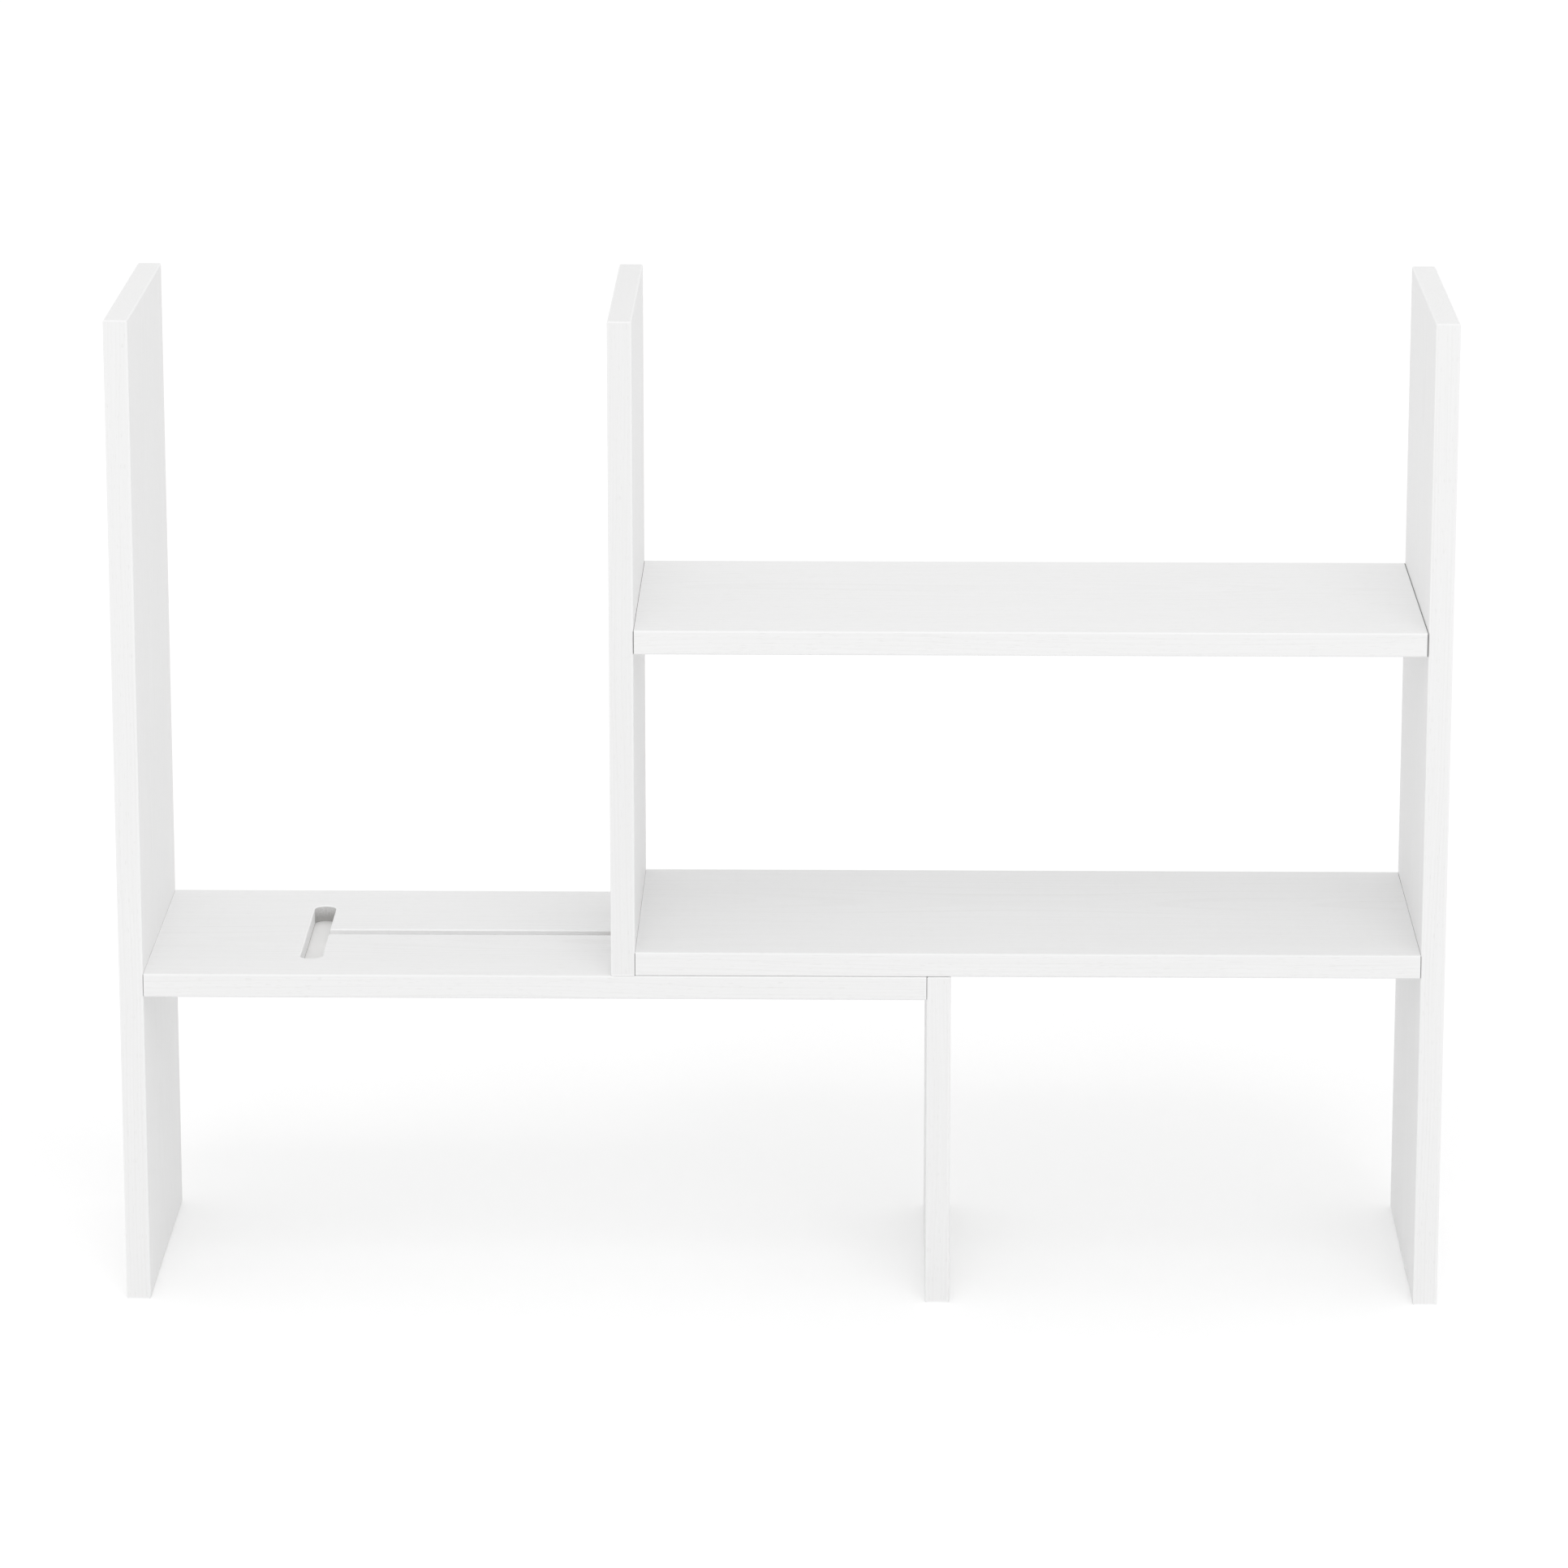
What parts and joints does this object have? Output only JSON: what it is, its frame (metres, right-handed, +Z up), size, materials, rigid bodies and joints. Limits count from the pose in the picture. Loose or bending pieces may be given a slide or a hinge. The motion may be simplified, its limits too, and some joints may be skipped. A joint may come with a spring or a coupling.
{
  "type": "desktop bookshelf",
  "caption": "Expandable desktop bookshelf of white-painted wood: a low shelf unit with a guide slot, and a tall unit that slides along the slot and turns on its guide dowel.",
  "frame": {"origin": "on the surface it stands on, midway between the two side panels and at mid-depth, at the pictured opening", "axes": "+X to the right along the shelves, +Y to the back, +Z up; the front faces -Y"},
  "size_m": [0.659, 0.16, 0.5],
  "materials": {
    "painted_wood": "white satin paint over fine straight grain",
    "beech": "bare turned beech",
    "zinc_steel": "zinc plated"
  },
  "bodies": {
    "left_unit": {"left_side_panel": "painted_wood", "left_shelf": "painted_wood", "left_leg": "painted_wood", "left_panel_screws": "zinc_steel", "left_panel_dowels": "beech", "left_leg_screws": "zinc_steel", "left_leg_dowels": "beech"},
    "guide_dowel": {"guide_dowel": "beech"},
    "right_unit": {"divider_panel": "painted_wood", "right_side_panel": "painted_wood", "lower_shelf": "painted_wood", "upper_shelf": "painted_wood", "divider_lower_screws": "zinc_steel", "divider_lower_dowels": "beech", "divider_upper_screws": "zinc_steel", "divider_upper_dowels": "beech", "right_panel_lower_screws": "zinc_steel", "right_panel_lower_dowels": "beech", "right_panel_upper_screws": "zinc_steel", "right_panel_upper_dowels": "beech"}
  },
  "joints": [
    {"name": "unit_slide", "type": "slide", "parent": "left_unit", "child": "guide_dowel", "axis": [1, 0, 0], "range_m": [-0.158, 0.106]},
    {"name": "unit_swivel", "type": "hinge", "parent": "guide_dowel", "child": "right_unit", "pos_m": [-0.0785, 0, 0.17], "axis": [0, 0, 1], "range_deg": [-90, 90]}
  ]
}
